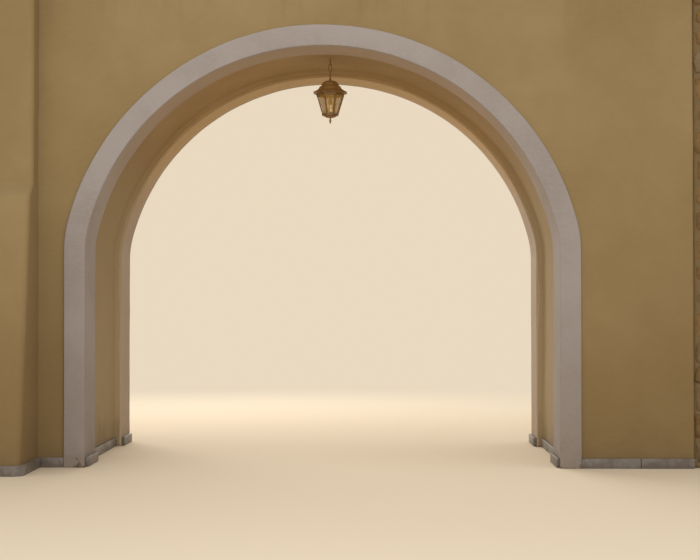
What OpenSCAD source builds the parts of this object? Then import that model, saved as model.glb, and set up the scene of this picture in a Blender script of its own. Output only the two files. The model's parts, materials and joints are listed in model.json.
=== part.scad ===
// Arched garden gateway: a thick rendered wall with a short vaulted passage.
// A white plastered ring surrounds the opening on each face of the wall.
// The yellow passage between the rings lies a little behind them.
// A buttress with a sloping foot closes the left end and a rough stone pier the right end.
// An eight-sided lantern hangs on a short chain from the crown of the vault.
// Units are millimetres. The origin is at ground level in the middle of the passage.
// The front face looks towards -Y and +Z is up.

/* [Opening] */
// Clear width between the white jambs
opening_w = 2720; // [2500:10:2900]
// Clear height from the ground to the crown of the white arch
crown_h = 2418; // [2300:2:2700]
// Amount by which the radius of the arch exceeds half of the clear width
arc_bulge = 25; // [5:1:60]
// Radius of the smaller arcs that lead from the jambs into the arch
haunch_r = 600; // [200:20:900]

/* [White surround] */
// Width of the white band on the wall face
band_w = 120; // [90:5:160]
// Amount by which the band stands proud of the rendered wall
band_proud = 15; // [8:1:20]
// Depth of each white ring measured from the wall face
ring_d = 300; // [250:10:400]

/* [Passage] */
// Depth of the yellow passage between the two white rings
passage_d = 870; // [700:10:1200]
// Amount by which the passage walls and vault lie behind the white rings
recess = 50; // [30:1:70]

/* [Walls] */
// Height of masonry between the crown of the white arch and the coping
wall_over_crown = 532; // [400:2:900]
// Width of rendered wall between the white band and the buttress
left_wall_w = 150; // [100:5:400]
// Width of rendered wall between the white band and the stone pier
right_wall_w = 642; // [400:2:1200]
// Width of the rough stone pier
pier_w = 450; // [300:10:700]
// Amount by which the stone pier lies behind the face of the rendered wall
pier_setback = 12; // [5:1:30]

/* [Buttress] */
// Width of the buttress
buttress_w = 942; // [600:2:1200]
// Projection of the buttress from the wall at the ground
buttress_foot_d = 420; // [350:5:600]
// Projection of the buttress from the wall at its shoulder, where the sloping face ends
buttress_shoulder_d = 225; // [190:5:300]
// Projection of the upright head of the buttress from the wall
buttress_head_d = 130; // [90:2:180]
// Height of the shoulder of the buttress above the ground
buttress_shoulder_h = 1540; // [1000:10:1800]
// Height over which the shoulder slopes back to the upright head
shoulder_slope_h = 80; // [40:5:200]
// Radius of the rounded upright corners of the buttress
buttress_arris_r = 35; // [15:1:60]

/* [Marble trim] */
// Height of the marble skirting
skirting_h = 56; // [40:1:100]
// Thickness of the marble skirting
skirting_t = 20; // [10:1:24]
// Distance from the face of the band to the front end of the skirting in the opening
skirting_setback = 30; // [10:5:80]
// Thickness of the marble coping slabs
coping_t = 40; // [25:1:60]
// Overhang of the coping beyond the wall faces
coping_overhang = 25; // [22:1:40]
// Thickness of the lime screed on the flat top
screed_t = 30; // [15:1:40]

/* [Chain] */
// Distance of the lantern to the right of the middle of the vault
lantern_x = 25; // [-60:5:60]
// Diameter of the wire of the hook in the vault
hook_wire_d = 6; // [5:0.5:7]
// Length of the shank of the hook below the vault
hook_shank_l = 22; // [10:1:60]
// Radius of the eye of the hook at the centre of its wire
hook_eye_r = 9; // [8:0.5:14]
// Diameter of the wire of the chain links and of the lantern loop
link_wire_d = 4; // [3:0.25:4.5]
// Length of the long link between the centres of its end wires
long_link_l = 45; // [38:1:80]
// Half the width of the long link at the centres of its wires
long_link_r = 9; // [8:0.5:12]
// Length of the short link between the centres of its end wires
short_link_l = 30; // [25:1:60]
// Half the width of the short link at the centres of its wires
short_link_r = 6.5; // [6:0.5:8]
// Radius of the loop on the lantern at the centre of its wire
loop_r = 6; // [6:0.5:10]
// Clearance between chain parts that hang in each other
link_gap = 0.3; // [0.2:0.1:0.6]

/* [Lantern cap] */
// Height of the neck between the lantern cap and its loop
neck_h = 23; // [19:1:40]
// Radius of the neck between the lantern cap and its loop
neck_r = 3; // [2.5:0.25:4]
// Radius of the bead around the neck
bead_r = 7; // [5:0.5:9]
// Height of the domed top of the cap
dome_h = 36; // [25:1:50]
// Radius of the domed top of the cap, measured at its corners
dome_r = 58; // [45:1:64]
// Height of the small ledge around the dome
ledge_h = 7; // [4:1:12]
// Outer radius of the small ledge around the dome, measured at its corners
ledge_r = 72; // [68:1:80]
// Height of the flared skirt of the cap
flare_h = 34; // [25:1:60]
// Radius of the eaves of the cap, measured at its corners
eaves_r = 113; // [100:1:130]
// Height of the thin edge of the eaves
eaves_lip_h = 3; // [2:0.5:6]
// Height of the soffit between the eaves and the frame
soffit_h = 6; // [4:1:12]
// Thickness of the sheet metal of the cap
cap_sheet_t = 3; // [2:0.5:4]

/* [Lantern body] */
// Height of the glazed frame of the lantern
frame_h = 133; // [110:1:180]
// Radius of the frame at its top, measured at the corner bars
frame_top_r = 88; // [78:1:94]
// Radius of the frame at its foot, measured at the corner bars
frame_foot_r = 50; // [45:1:60]
// Radius of the corner bars
bar_r = 4; // [3:0.5:5]
// Height of the rails at the top and foot of the frame
rail_h = 9; // [7:1:12]
// Thickness of the glass panes
glass_t = 3; // [2:0.5:4]
// Clearance between the panes and the corner bars
glass_gap = 0.5; // [0.3:0.1:1]
// Thickness of the plates that close the frame at its top and foot
plate_t = 3; // [2:0.5:5]
// Height of the bowl under the frame
bowl_h = 14; // [10:1:30]
// Radius of the bowl under the frame
bowl_r = 38; // [30:1:44]
// Height of the finial under the bowl
finial_h = 36; // [24:1:50]
// Radius of the finial at its bead
finial_r = 7.5; // [6:0.5:10]
// Length of the candle-shaped lamp holder
holder_l = 64; // [40:1:66]
// Radius of the lamp holder
holder_r = 12; // [9:1:15]
// Length of the lamp bulb
bulb_l = 50; // [40:1:52]
// Greatest radius of the lamp bulb
bulb_r = 17; // [16:0.5:20]

/* [Hidden] */

// Colours of the real surfaces
ochre_paint = [0.59, 0.51, 0.37];
white_paint = [0.63, 0.60, 0.58];
vault_paint = [0.61, 0.51, 0.36];
marble = [0.49, 0.46, 0.44];
field_stone = [0.49, 0.40, 0.28];
screed = [0.60, 0.57, 0.52];
bronze = [0.40, 0.30, 0.17];
pane = [0.85, 0.85, 0.80, 0.35];
ivory = [0.86, 0.83, 0.74];

// Smoothness of large arcs, of round metalwork and of the corners of the buttress
arc_fn = 240;
round_fn = 48;
arris_fn = 32;

// Steps along the curved sections of the lantern
curve_steps = 8;

// Outline of the white surround
half_open = opening_w / 2;
half_band = half_open + band_w;
arc_r = half_open + arc_bulge;
arc_z = crown_h - arc_r;

// Centre of the right haunch, and the angle of its arc up to where the large arc takes over.
// The haunch reaches over the large arc by a hair, so that the two cross cleanly
haunch_overlap = 0.02;
haunch_x = half_open - haunch_r;
haunch_z = arc_z + sqrt(pow(arc_r - haunch_r + haunch_overlap, 2) - pow(haunch_x, 2));
haunch_angle = atan2(haunch_z - arc_z, haunch_x);

// Outline of the recessed passage
half_vault = half_open + recess;
vault_r = arc_r + recess;

// Main planes of the masonry
wall_h = crown_h + wall_over_crown;
inner_y = passage_d / 2;
face_y = inner_y + ring_d;
band_y = face_y + band_proud;
pier_y = face_y - pier_setback;
buttress_x = -half_band - left_wall_w;
left_x = buttress_x - buttress_w;
pier_x = half_band + right_wall_w;
right_x = pier_x + pier_w;

// Levels of the chain, from the vault downwards
hook_wire_r = hook_wire_d / 2;
link_wire_r = link_wire_d / 2;
hook_far_x = abs(lantern_x) + hook_wire_r;
hook_top_z = arc_z + sqrt(pow(vault_r, 2) - pow(hook_far_x, 2));
hook_eye_z = hook_top_z - hook_shank_l - hook_eye_r;
hook_foot_z = hook_eye_z - hook_eye_r;
long_link_top_z = hook_foot_z + hook_wire_r + link_wire_r + link_gap;
long_link_foot_z = long_link_top_z - long_link_l;
short_link_top_z = long_link_foot_z + link_wire_d + link_gap;
short_link_foot_z = short_link_top_z - short_link_l;
loop_z = short_link_foot_z + link_wire_d + link_gap - loop_r;

// Levels of the lantern, from the cap downwards
cap_top_z = loop_z - loop_r - neck_h;
dome_foot_z = cap_top_z - dome_h;
ledge_foot_z = dome_foot_z - ledge_h;
eaves_top_z = ledge_foot_z - flare_h;
eaves_foot_z = eaves_top_z - eaves_lip_h;
cap_foot_z = eaves_foot_z - soffit_h;
frame_foot_z = cap_foot_z - frame_h;
bowl_foot_z = frame_foot_z - plate_t - bowl_h;
holder_foot_z = cap_foot_z - plate_t - holder_l;

// Eight sides, with one flat side towards each face of the wall
lantern_sides = 8;
half_side_angle = 180 / lantern_sides;

// Slope of the lantern's corner bars
bar_top_z = cap_foot_z - plate_t - rail_h / 2;
bar_foot_z = frame_foot_z + rail_h / 2;
bar_rise = bar_top_z - bar_foot_z;
bar_run = frame_top_r - frame_foot_r;
bar_tilt = atan(bar_run / bar_rise);
bar_l = sqrt(pow(bar_rise, 2) + pow(bar_run, 2));
glass_foot_z = frame_foot_z + rail_h;
glass_top_z = cap_foot_z - plate_t - rail_h;

// Width of the rails, enough to carry the panes inside the bars and to enclose the bars
glass_inset = bar_r / cos(bar_tilt) + glass_gap;
rail_lip = 2;
rail_cover = bar_r / cos(half_side_angle) + 1;

// Radius of the bar circle at a given height
function bar_circle(z) = frame_foot_r + (z - bar_foot_z) * bar_run / bar_rise;

// Radius of the cap's dome at a given share of its height
function dome_profile(t) = dome_r * sqrt(1 - pow(t, 2));

// Radius of the cap's flared skirt at a given share of its fall
function flare_profile(t) = ledge_r + (eaves_r - ledge_r) * pow(t, 2);

// Stands a flat outline drawn in X and Z upright between two Y planes
module upright(y_from, y_to) {
    translate([0, y_to, 0])
        rotate([90, 0, 0])
            linear_extrude(y_to - y_from)
                children();
}

// Repeats a front piece on the back of the wall
module to_back() {
    mirror([0, 1, 0])
        children();
}

// Box given by its lowest and highest corners
module block(low, high) {
    translate(low)
        cube(high - low);
}

// Space under an arch above its jambs, which lies the given distance outside the white arch's edge
module arch_outline(outside) {
    reach = 2 * arc_r;
    rise = reach * tan(haunch_angle);
    translate([0, arc_z])
        intersection() {
            circle(arc_r + outside, $fn = arc_fn);
            polygon([[0, 0], [reach, rise], [reach, 2 * reach], [-reach, 2 * reach], [-reach, rise]]);
        }
    for (x = [-haunch_x, haunch_x])
        translate([x, haunch_z])
            circle(haunch_r + outside, $fn = arc_fn);
}

// Rendered wall beside the opening, from one X plane to another
module wall_leaf(x_from, x_to) {
    color(ochre_paint)
        block([x_from, -face_y, 0], [x_to, -inner_y, wall_h]);
}

// Rendered wall over the white arch
module wall_head() {
    color(ochre_paint)
        upright(-face_y, -inner_y)
            difference() {
                translate([-half_band, haunch_z])
                    square([2 * half_band, wall_h - haunch_z]);
                arch_outline(band_w);
            }
}

module front_wall_left() {
    wall_leaf(left_x, -half_band);
}

module front_wall_right() {
    wall_leaf(half_band, pier_x);
}

module front_wall_head() {
    wall_head();
}

module back_wall_left() {
    to_back()
        wall_leaf(left_x, -half_band);
}

module back_wall_right() {
    to_back()
        wall_leaf(half_band, pier_x);
}

module back_wall_head() {
    to_back()
        wall_head();
}

module passage_side_left() {
    color(vault_paint)
        block([left_x, -inner_y, 0], [-half_vault, inner_y, wall_h]);
}

module passage_side_right() {
    color(vault_paint)
        block([half_vault, -inner_y, 0], [pier_x, inner_y, wall_h]);
}

module passage_vault() {
    color(vault_paint)
        upright(-inner_y, inner_y)
            difference() {
                translate([-half_vault, haunch_z])
                    square([2 * half_vault, wall_h - haunch_z]);
                arch_outline(recess);
            }
}

// White jamb at the left of the front opening
module jamb() {
    color(white_paint)
        block([-half_band, -band_y, 0], [-half_open, -inner_y, haunch_z]);
}

// White ring over the front opening
module arch_ring() {
    color(white_paint)
        upright(-band_y, -inner_y)
            difference() {
                intersection() {
                    arch_outline(band_w);
                    translate([-2 * arc_r, haunch_z])
                        square([4 * arc_r, 2 * arc_r]);
                }
                arch_outline(0);
            }
}

module front_jamb_left() {
    jamb();
}

module front_jamb_right() {
    mirror([1, 0, 0])
        jamb();
}

module front_arch_ring() {
    arch_ring();
}

module back_jamb_left() {
    to_back()
        jamb();
}

module back_jamb_right() {
    to_back()
        mirror([1, 0, 0])
            jamb();
}

module back_arch_ring() {
    to_back()
        arch_ring();
}

// Plan of the buttress in front of the wall, with its two outer corners rounded
module buttress_plan(depth, grow) {
    r = buttress_arris_r + grow;
    x_from = left_x - grow;
    x_to = buttress_x + grow;
    front = -face_y - depth - grow;
    for (x = [x_from + r, x_to - r])
        translate([x, front + r])
            circle(r, $fn = arris_fn);
    translate([x_from + r, front])
        square([x_to - x_from - 2 * r, depth + grow]);
    translate([x_from, front + r])
        square([x_to - x_from, depth + grow - r]);
}

// Sloping stage of the buttress between two levels, each with its own projection
module buttress_slope(low_z, low_d, high_z, high_d) {
    skin = 1;
    hull() {
        translate([0, 0, low_z])
            linear_extrude(skin)
                buttress_plan(low_d, 0);
        translate([0, 0, high_z - skin])
            linear_extrude(skin)
                buttress_plan(high_d, 0);
    }
}

// Buttress: an upright foot behind the skirting, a sloping face, a shoulder and an upright head
module buttress() {
    head_z = buttress_shoulder_h + shoulder_slope_h;
    color(ochre_paint) {
        linear_extrude(skirting_h)
            buttress_plan(buttress_foot_d, 0);
        buttress_slope(skirting_h, buttress_foot_d, buttress_shoulder_h, buttress_shoulder_d);
        buttress_slope(buttress_shoulder_h, buttress_shoulder_d, head_z, buttress_head_d);
        translate([0, 0, head_z])
            linear_extrude(wall_h - head_z)
                buttress_plan(buttress_head_d, 0);
    }
}

module buttress_front() {
    buttress();
}

module buttress_back() {
    to_back()
        buttress();
}

module stone_pier() {
    color(field_stone)
        block([pier_x, -pier_y, 0], [right_x, pier_y, wall_h]);
}

// Flat slab laid on top of the masonry
module top_slab(x_from, y_from, x_to, y_to, thick) {
    block([x_from, y_from, wall_h], [x_to, y_to, wall_h + thick]);
}

// Coping slab along the front edge of the wall
module coping() {
    color(marble)
        top_slab(left_x - coping_overhang, -face_y - coping_overhang, pier_x, -inner_y, coping_t);
}

// Coping slab on the head of the buttress
module buttress_cap() {
    front = -face_y - buttress_head_d - coping_overhang;
    color(marble)
        top_slab(left_x - coping_overhang, front,
            buttress_x + coping_overhang, -face_y - coping_overhang, coping_t);
}

module coping_front() {
    coping();
}

module coping_back() {
    to_back()
        coping();
}

module coping_left_end() {
    color(marble)
        top_slab(left_x - coping_overhang, -inner_y, left_x + ring_d, inner_y, coping_t);
}

module buttress_cap_front() {
    buttress_cap();
}

module buttress_cap_back() {
    to_back()
        buttress_cap();
}

module stone_pier_cap() {
    reach = face_y + coping_overhang;
    color(marble)
        top_slab(pier_x, -reach, right_x + coping_overhang, reach, coping_t);
}

module roof_screed() {
    color(screed)
        top_slab(left_x + ring_d, -inner_y, pier_x, inner_y, screed_t);
}

// Marble skirting along the front face, from one X plane to another
module face_skirting(x_from, x_to) {
    color(marble)
        block([x_from, -face_y - skirting_t, 0], [x_to, -face_y, skirting_h]);
}

module skirting_front_left() {
    face_skirting(buttress_x + skirting_t, -half_band);
}

module skirting_front_right() {
    face_skirting(half_band, pier_x);
}

module skirting_back_left() {
    to_back()
        face_skirting(buttress_x + skirting_t, -half_band);
}

module skirting_back_right() {
    to_back()
        face_skirting(half_band, pier_x);
}

// Marble skirting around the foot of the buttress
module buttress_skirting() {
    color(marble)
        linear_extrude(skirting_h)
            difference() {
                buttress_plan(buttress_foot_d, skirting_t);
                buttress_plan(buttress_foot_d, 0);
            }
}

module skirting_buttress_front() {
    buttress_skirting();
}

module skirting_buttress_back() {
    to_back()
        buttress_skirting();
}

// Marble skirting on both white jambs, inside the opening
module reveal_skirting() {
    color(marble)
        for (side = [0, 1])
            mirror([side, 0, 0])
                block([-half_open, -band_y + skirting_setback, 0],
                    [-half_open + skirting_t, -inner_y, skirting_h]);
}

module skirting_front_reveals() {
    reveal_skirting();
}

module skirting_back_reveals() {
    to_back()
        reveal_skirting();
}

module skirting_passage() {
    color(marble)
        for (side = [0, 1])
            mirror([side, 0, 0])
                block([-half_vault, -inner_y, 0], [-half_vault + skirting_t, inner_y, skirting_h]);
}

// Moves a part of the chain or the lantern to its place under the vault
module hung(z) {
    translate([lantern_x, 0, z])
        children();
}

// Turns an eight-sided shape so that flat sides face the front and the back
module flats_to_front() {
    rotate([0, 0, half_side_angle])
        children();
}

// Round ring of wire that stands in the X and Z plane
module wire_ring(ring_r, wire_r) {
    rotate([90, 0, 0])
        rotate_extrude($fn = round_fn)
            translate([ring_r, 0])
                circle(wire_r, $fn = round_fn);
}

// Oval chain link in the X and Z plane, hanging from the centre of its top wire
module oval_link(link_l, half_w) {
    bend_foot = half_w - link_l;
    for (end = [[-half_w, 0], [bend_foot, 180]])
        translate([0, 0, end[0]])
            rotate([90, 0, 0])
                rotate(end[1])
                    rotate_extrude(angle = 180, $fn = round_fn)
                        translate([half_w, 0])
                            circle(link_wire_r, $fn = round_fn);
    for (x = [-half_w, half_w])
        translate([x, 0, bend_foot])
            cylinder(h = link_l - 2 * half_w, r = link_wire_r, $fn = round_fn);
}

module vault_hook() {
    color(bronze) {
        hung(hook_eye_z + hook_eye_r)
            cylinder(h = hook_shank_l, r = hook_wire_r, $fn = round_fn);
        hung(hook_eye_z)
            rotate([0, 0, 90])
                wire_ring(hook_eye_r, hook_wire_r);
    }
}

module chain_long_link() {
    color(bronze)
        hung(long_link_top_z)
            oval_link(long_link_l, long_link_r);
}

module chain_short_link() {
    color(bronze)
        hung(short_link_top_z)
            rotate([0, 0, 90])
                oval_link(short_link_l, short_link_r);
}

// Loop, neck and bead that stand on the flat top of the cap
module lantern_loop() {
    bead_z = cap_top_z + bead_r + 1;
    color(bronze) {
        hung(loop_z)
            wire_ring(loop_r, link_wire_r);
        hung(cap_top_z)
            cylinder(h = neck_h, r = neck_r, $fn = round_fn);
        hung(bead_z)
            sphere(bead_r, $fn = round_fn);
    }
}

// Half section of the cap, drawn as the outer face down to the eaves and the inner face back up
module cap_section() {
    flat_r = bead_r + 2;
    steps = [0:curve_steps];
    // The dome stops at its flat top
    top_t = sqrt(1 - pow(flat_r / dome_r, 2));
    dome = [for (i = steps)
        let (t = top_t * (1 - i / curve_steps))
        [dome_profile(t), dome_foot_z + dome_h * t / top_t]];
    flare = [for (i = steps)
        let (t = i / curve_steps)
        [flare_profile(t), ledge_foot_z - flare_h * t]];
    // The soffit closes the cap below, and its wall goes back up inside the skirt
    inner = [for (i = steps)
        let (t = 1 - i / curve_steps)
        [flare_profile(t) - cap_sheet_t, ledge_foot_z - flare_h * t - cap_sheet_t]];
    soffit_r = frame_top_r + rail_cover + 1;
    polygon(concat(
        [[0, cap_top_z]], dome, flare,
        [[eaves_r, eaves_foot_z], [soffit_r, cap_foot_z], [soffit_r - cap_sheet_t, cap_foot_z],
            [soffit_r - cap_sheet_t, eaves_foot_z]],
        [for (p = inner) if (p[0] < soffit_r - cap_sheet_t) p],
        [[dome_r - cap_sheet_t, dome_foot_z - cap_sheet_t], [0, dome_foot_z - cap_sheet_t]]));
}

module lantern_cap() {
    color(bronze)
        hung(0)
            flats_to_front()
                rotate_extrude($fn = lantern_sides)
                    cap_section();
}

// Eight-sided rail between two levels
module rail(z_from, z_to) {
    mid_r = bar_circle((z_from + z_to) / 2);
    inner_r = mid_r - glass_inset - glass_t - rail_lip;
    hung(z_from)
        flats_to_front()
            difference() {
                cylinder(h = z_to - z_from, r = mid_r + rail_cover, $fn = lantern_sides);
                translate([0, 0, -1])
                    cylinder(h = z_to - z_from + 2, r = inner_r, $fn = lantern_sides);
            }
}

// Flat plate that closes the frame
module frame_plate(z, r) {
    hung(z)
        flats_to_front()
            cylinder(h = plate_t, r = r, $fn = lantern_sides);
}

module lantern_frame() {
    color(bronze) {
        frame_plate(cap_foot_z - plate_t, frame_top_r + rail_cover);
        // The top rail reaches half-way into its plate, so the two are one piece
        rail(glass_top_z, cap_foot_z - plate_t / 2);
        rail(frame_foot_z, glass_foot_z);
        for (i = [0:lantern_sides - 1])
            hung(bar_foot_z)
                rotate([0, 0, half_side_angle + i * 360 / lantern_sides])
                    translate([frame_foot_r, 0, 0])
                        rotate([0, bar_tilt, 0])
                            cylinder(h = bar_l, r = bar_r, $fn = round_fn);
    }
}

module lantern_glass() {
    h = glass_top_z - glass_foot_z;
    foot_r = bar_circle(glass_foot_z) - glass_inset;
    top_r = bar_circle(glass_top_z) - glass_inset;
    color(pane)
        hung(glass_foot_z)
            flats_to_front()
                rotate_extrude($fn = lantern_sides)
                    polygon([[foot_r - glass_t, 0], [foot_r, 0], [top_r, h], [top_r - glass_t, h]]);
}

// Foot plate, shallow bowl and finial, turned as one piece under the frame
module lantern_bowl() {
    stem_r = 4.5;
    tip_r = 2;
    stem_z = bowl_foot_z - finial_h / 5;
    bead_z = bowl_foot_z - finial_h / 2;
    tip_z = bowl_foot_z - finial_h;
    bowl_top_z = frame_foot_z - plate_t;
    // The bowl reaches half-way into the plate, so the two are one piece
    plate_mid_z = frame_foot_z - plate_t / 2;
    bowl = [for (i = [0:curve_steps])
        let (a = 90 * i / curve_steps)
        [stem_r + (bowl_r - stem_r) * cos(a), bowl_top_z - bowl_h * sin(a)]];
    color(bronze) {
        frame_plate(frame_foot_z - plate_t, bar_circle(frame_foot_z) + rail_cover);
        hung(0)
            rotate_extrude($fn = round_fn)
                polygon(concat([[0, plate_mid_z], [bowl_r, plate_mid_z]], bowl,
                    [[stem_r, stem_z], [finial_r, bead_z], [tip_r, tip_z], [0, tip_z]]));
    }
}

module lamp_holder() {
    color(ivory)
        hung(holder_foot_z)
            cylinder(h = holder_l, r = holder_r, $fn = round_fn);
}

// Round bulb that narrows to the width of its holder
module lamp_bulb() {
    cap_r = holder_r - 1;
    ball_z = bulb_r - bulb_l;
    start = asin(cap_r / bulb_r);
    color(pane)
        hung(holder_foot_z)
            rotate_extrude($fn = round_fn)
                polygon(concat([[0, 0], [cap_r, 0]],
                    [for (i = [0:curve_steps])
                        let (a = start + (180 - start) * i / curve_steps)
                        [bulb_r * sin(a), ball_z + bulb_r * cos(a)]]));
}

front_wall_left();
front_wall_right();
front_wall_head();
back_wall_left();
back_wall_right();
back_wall_head();
passage_side_left();
passage_side_right();
passage_vault();
roof_screed();
coping_front();
coping_back();
coping_left_end();
stone_pier();
stone_pier_cap();
buttress_front();
buttress_back();
buttress_cap_front();
buttress_cap_back();
front_jamb_left();
front_jamb_right();
front_arch_ring();
back_jamb_left();
back_jamb_right();
back_arch_ring();
skirting_front_left();
skirting_front_right();
skirting_back_left();
skirting_back_right();
skirting_buttress_front();
skirting_buttress_back();
skirting_front_reveals();
skirting_back_reveals();
skirting_passage();
vault_hook();
chain_long_link();
chain_short_link();
lantern_loop();
lantern_cap();
lantern_frame();
lantern_glass();
lantern_bowl();
lamp_holder();
lamp_bulb();
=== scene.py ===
import json
import math

import bpy
import numpy as np
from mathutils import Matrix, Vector
from mathutils.geometry import delaunay_2d_cdt


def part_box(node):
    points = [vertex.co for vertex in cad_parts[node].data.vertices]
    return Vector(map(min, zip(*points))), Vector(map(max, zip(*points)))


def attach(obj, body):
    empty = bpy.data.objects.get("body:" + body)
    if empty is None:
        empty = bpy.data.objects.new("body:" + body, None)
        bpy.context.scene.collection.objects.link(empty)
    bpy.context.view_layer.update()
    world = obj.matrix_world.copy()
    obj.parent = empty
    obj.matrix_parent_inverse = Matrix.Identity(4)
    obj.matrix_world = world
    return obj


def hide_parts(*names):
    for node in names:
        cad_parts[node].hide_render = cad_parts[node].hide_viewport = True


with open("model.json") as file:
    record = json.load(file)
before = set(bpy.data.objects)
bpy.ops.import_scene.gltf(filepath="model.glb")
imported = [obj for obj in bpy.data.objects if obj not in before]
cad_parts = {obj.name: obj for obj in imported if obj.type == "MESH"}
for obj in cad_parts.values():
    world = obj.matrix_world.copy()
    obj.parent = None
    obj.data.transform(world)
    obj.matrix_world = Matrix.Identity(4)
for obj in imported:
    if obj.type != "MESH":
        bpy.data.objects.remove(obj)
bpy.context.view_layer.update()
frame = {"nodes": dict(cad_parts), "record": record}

# Sizes of the masonry, read from the frame, in metres
jamb_lo, jamb_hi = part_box("front_jamb_left")
ring_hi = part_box("front_arch_ring")[1]
wall_lo, wall_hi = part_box("front_wall_left")
vault_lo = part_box("passage_vault")[0]
buttress_lo, buttress_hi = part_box("buttress_front")
pier_lo, pier_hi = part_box("stone_pier")
coping_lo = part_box("coping_front")[0]
buttress_cap_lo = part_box("buttress_cap_front")[0]

HALF_OPEN = -jamb_hi.x
HALF_BAND = -jamb_lo.x
BAND_W = HALF_BAND - HALF_OPEN
BAND_Y = -jamb_lo.y
INNER_Y = -jamb_hi.y
HAUNCH_Z = jamb_hi.z
CROWN_Z = ring_hi.z - BAND_W
FACE_Y = -wall_lo.y
WALL_H = wall_hi.z
RECESS = -vault_lo.x - HALF_OPEN
LEFT_X = buttress_lo.x
BUTTRESS_X = buttress_hi.x
PIER_X = pier_lo.x
RIGHT_X = pier_hi.x
PIER_Y = -pier_lo.y
SKIRTING_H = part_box("skirting_front_left")[1].z
BUTTRESS_FOOT_D = -buttress_lo.y - FACE_Y
BUTTRESS_HEAD_D = coping_lo.y - buttress_cap_lo.y

# Shoulder of the buttress, where its sloping face ends and leans back to the upright head.
# SHOULDER_ROUND is how far up and down its edges are rounded
SHOULDER_D = 0.225
SHOULDER_Z = 1.540
HEAD_Z = 1.620
SHOULDER_ROUND = 0.024

# The arch is part of a circle a little larger than the opening.
# Smaller circles round its haunches, where it turns into the jambs
ARC_BULGE = 0.025
ARC_R = HALF_OPEN + ARC_BULGE
ARC_Z = CROWN_Z - ARC_R
HAUNCH_R = (ARC_R ** 2 - HALF_OPEN ** 2 - (HAUNCH_Z - ARC_Z) ** 2) / (2 * ARC_BULGE)
HAUNCH_X = HALF_OPEN - HAUNCH_R
HAUNCH_ANGLE = math.atan2(HAUNCH_Z - ARC_Z, HAUNCH_X)

# Spacing of the points on the plastered surfaces, and on the sides that lie hidden in the wall
FINE = 0.006
MEDIUM = 0.013
COARSE = 0.02
HIDDEN = 0.03

# Height up to which the foot of a white jamb has fine points, for its chips
FINE_FOOT_H = 0.12

# Radius of the edges of the white surrounds, of the wall beside the pier and of the buttresses
SURROUND_ARRIS = 0.006
WALL_ARRIS = 0.014
BUTTRESS_ARRIS = 0.035

# Radius of the render where it runs up to the white surround
FILLET = 0.009
FILLET_STEPS = 5

# Depth of the coves at the ends of the passage, and their length along it
COVE = 0.036
COVE_L = 0.085
COVE_STEPS = 12

# How far the render reaches into the white surrounds, and the wall faces into the buttresses,
# so that no gap shows between them
BURIED = 0.006
OVERLAP = 0.02

# Stones of the pier, in metres: joint, depth behind the face, lengths and heights of the courses
JOINT = 0.013
STONE_DEPTH = 0.16
STONE_LENGTHS = (0.2, 0.42)
COURSE_HEIGHTS = (0.11, 0.18)
STONE_STEPS = 9
MORTAR_BACK = 0.016

# Marble slabs: joint, and how much lower than its neighbours a slab may lie
SLAB_JOINT = 0.003
SLAB_SINK = 0.0008
SLAB_STEPS = 5
PAIRED_SKIRTINGS = ("skirting_front_reveals", "skirting_back_reveals", "skirting_passage")

# Radius of the worn edges of the copings and of the skirtings
COPING_WORN = 0.005
SKIRTING_WORN = 0.003

# Depth and size of the unevenness of each surface, from the widest waves to the smallest
FLOAT_WAVES = [(0.0035, 0.75), (0.0016, 0.22), (0.0006, 0.07)]
ROUGH_WAVES = [(0.0045, 0.6), (0.0022, 0.18), (0.0009, 0.05)]
TRIM_WAVES = [(0.0022, 0.6), (0.0010, 0.16), (0.0004, 0.045)]
STONE_WAVES = [(0.007, 0.11), (0.004, 0.045), (0.0015, 0.018)]
MORTAR_WAVES = [(0.004, 0.09), (0.002, 0.03)]
SCREED_WAVES = [(0.002, 0.5), (0.001, 0.12)]

# Heights between which the paint of the passage's sides goes over into that of its vault
SIDES_TOP = 1.4
VAULT_FOOT = 2.2

# Camera of the photograph, found from the edges of the arch and the passage, angles in degrees
CAMERA_PLACE = (0.302, -8.7456, 0.9636)
CAMERA_YAW = 1.005
CAMERA_PITCH = 0.775
CAMERA_LENS = 72


def srgb(red, green, blue):
    """Linear colour from the 0 to 255 values of the screen."""
    values = [c / 255 for c in (red, green, blue)]
    linear = [c / 12.92 if c <= 0.04045 else ((c + 0.055) / 1.055) ** 2.4 for c in values]
    return (*linear, 1.0)


# Noise

def lattice(ix, iy, iz, seed):
    """Repeatable random values from -1 to 1 on the points of a whole-number lattice."""
    h = ix * 374761393 + iy * 668265263 + iz * 1442695041 + seed * 974634777
    h = h & 0xFFFFFFFF
    h = ((h ^ (h >> 13)) * 1274126177) & 0xFFFFFFFF
    h = ((h ^ (h >> 16)) * 2246822519) & 0xFFFFFFFF
    return (h ^ (h >> 15)) / 0x7FFFFFFF - 1


def smooth_noise(points, size, seed):
    """Smooth noise from -1 to 1 whose hills are about as wide as size."""
    # The shift keeps the middle planes of the gate off the planes of the lattice
    scaled = points / size + 1000.5
    cell = np.floor(scaled).astype(np.int64)
    f = scaled - cell
    f = f * f * (3 - 2 * f)
    total = np.zeros(len(points))
    for dx in (0, 1):
        wx = f[:, 0] if dx else 1 - f[:, 0]
        for dy in (0, 1):
            wy = f[:, 1] if dy else 1 - f[:, 1]
            for dz in (0, 1):
                wz = f[:, 2] if dz else 1 - f[:, 2]
                value = lattice(cell[:, 0] + dx, cell[:, 1] + dy, cell[:, 2] + dz, seed)
                total += wx * wy * wz * value
    return total


def waves(points, sizes, seed):
    """Sum of noises, given as pairs of depth and size."""
    total = np.zeros(len(points))
    for i, (depth, size) in enumerate(sizes):
        total += depth * smooth_noise(points, size, seed * 17 + i)
    return total


# Meshes

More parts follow.
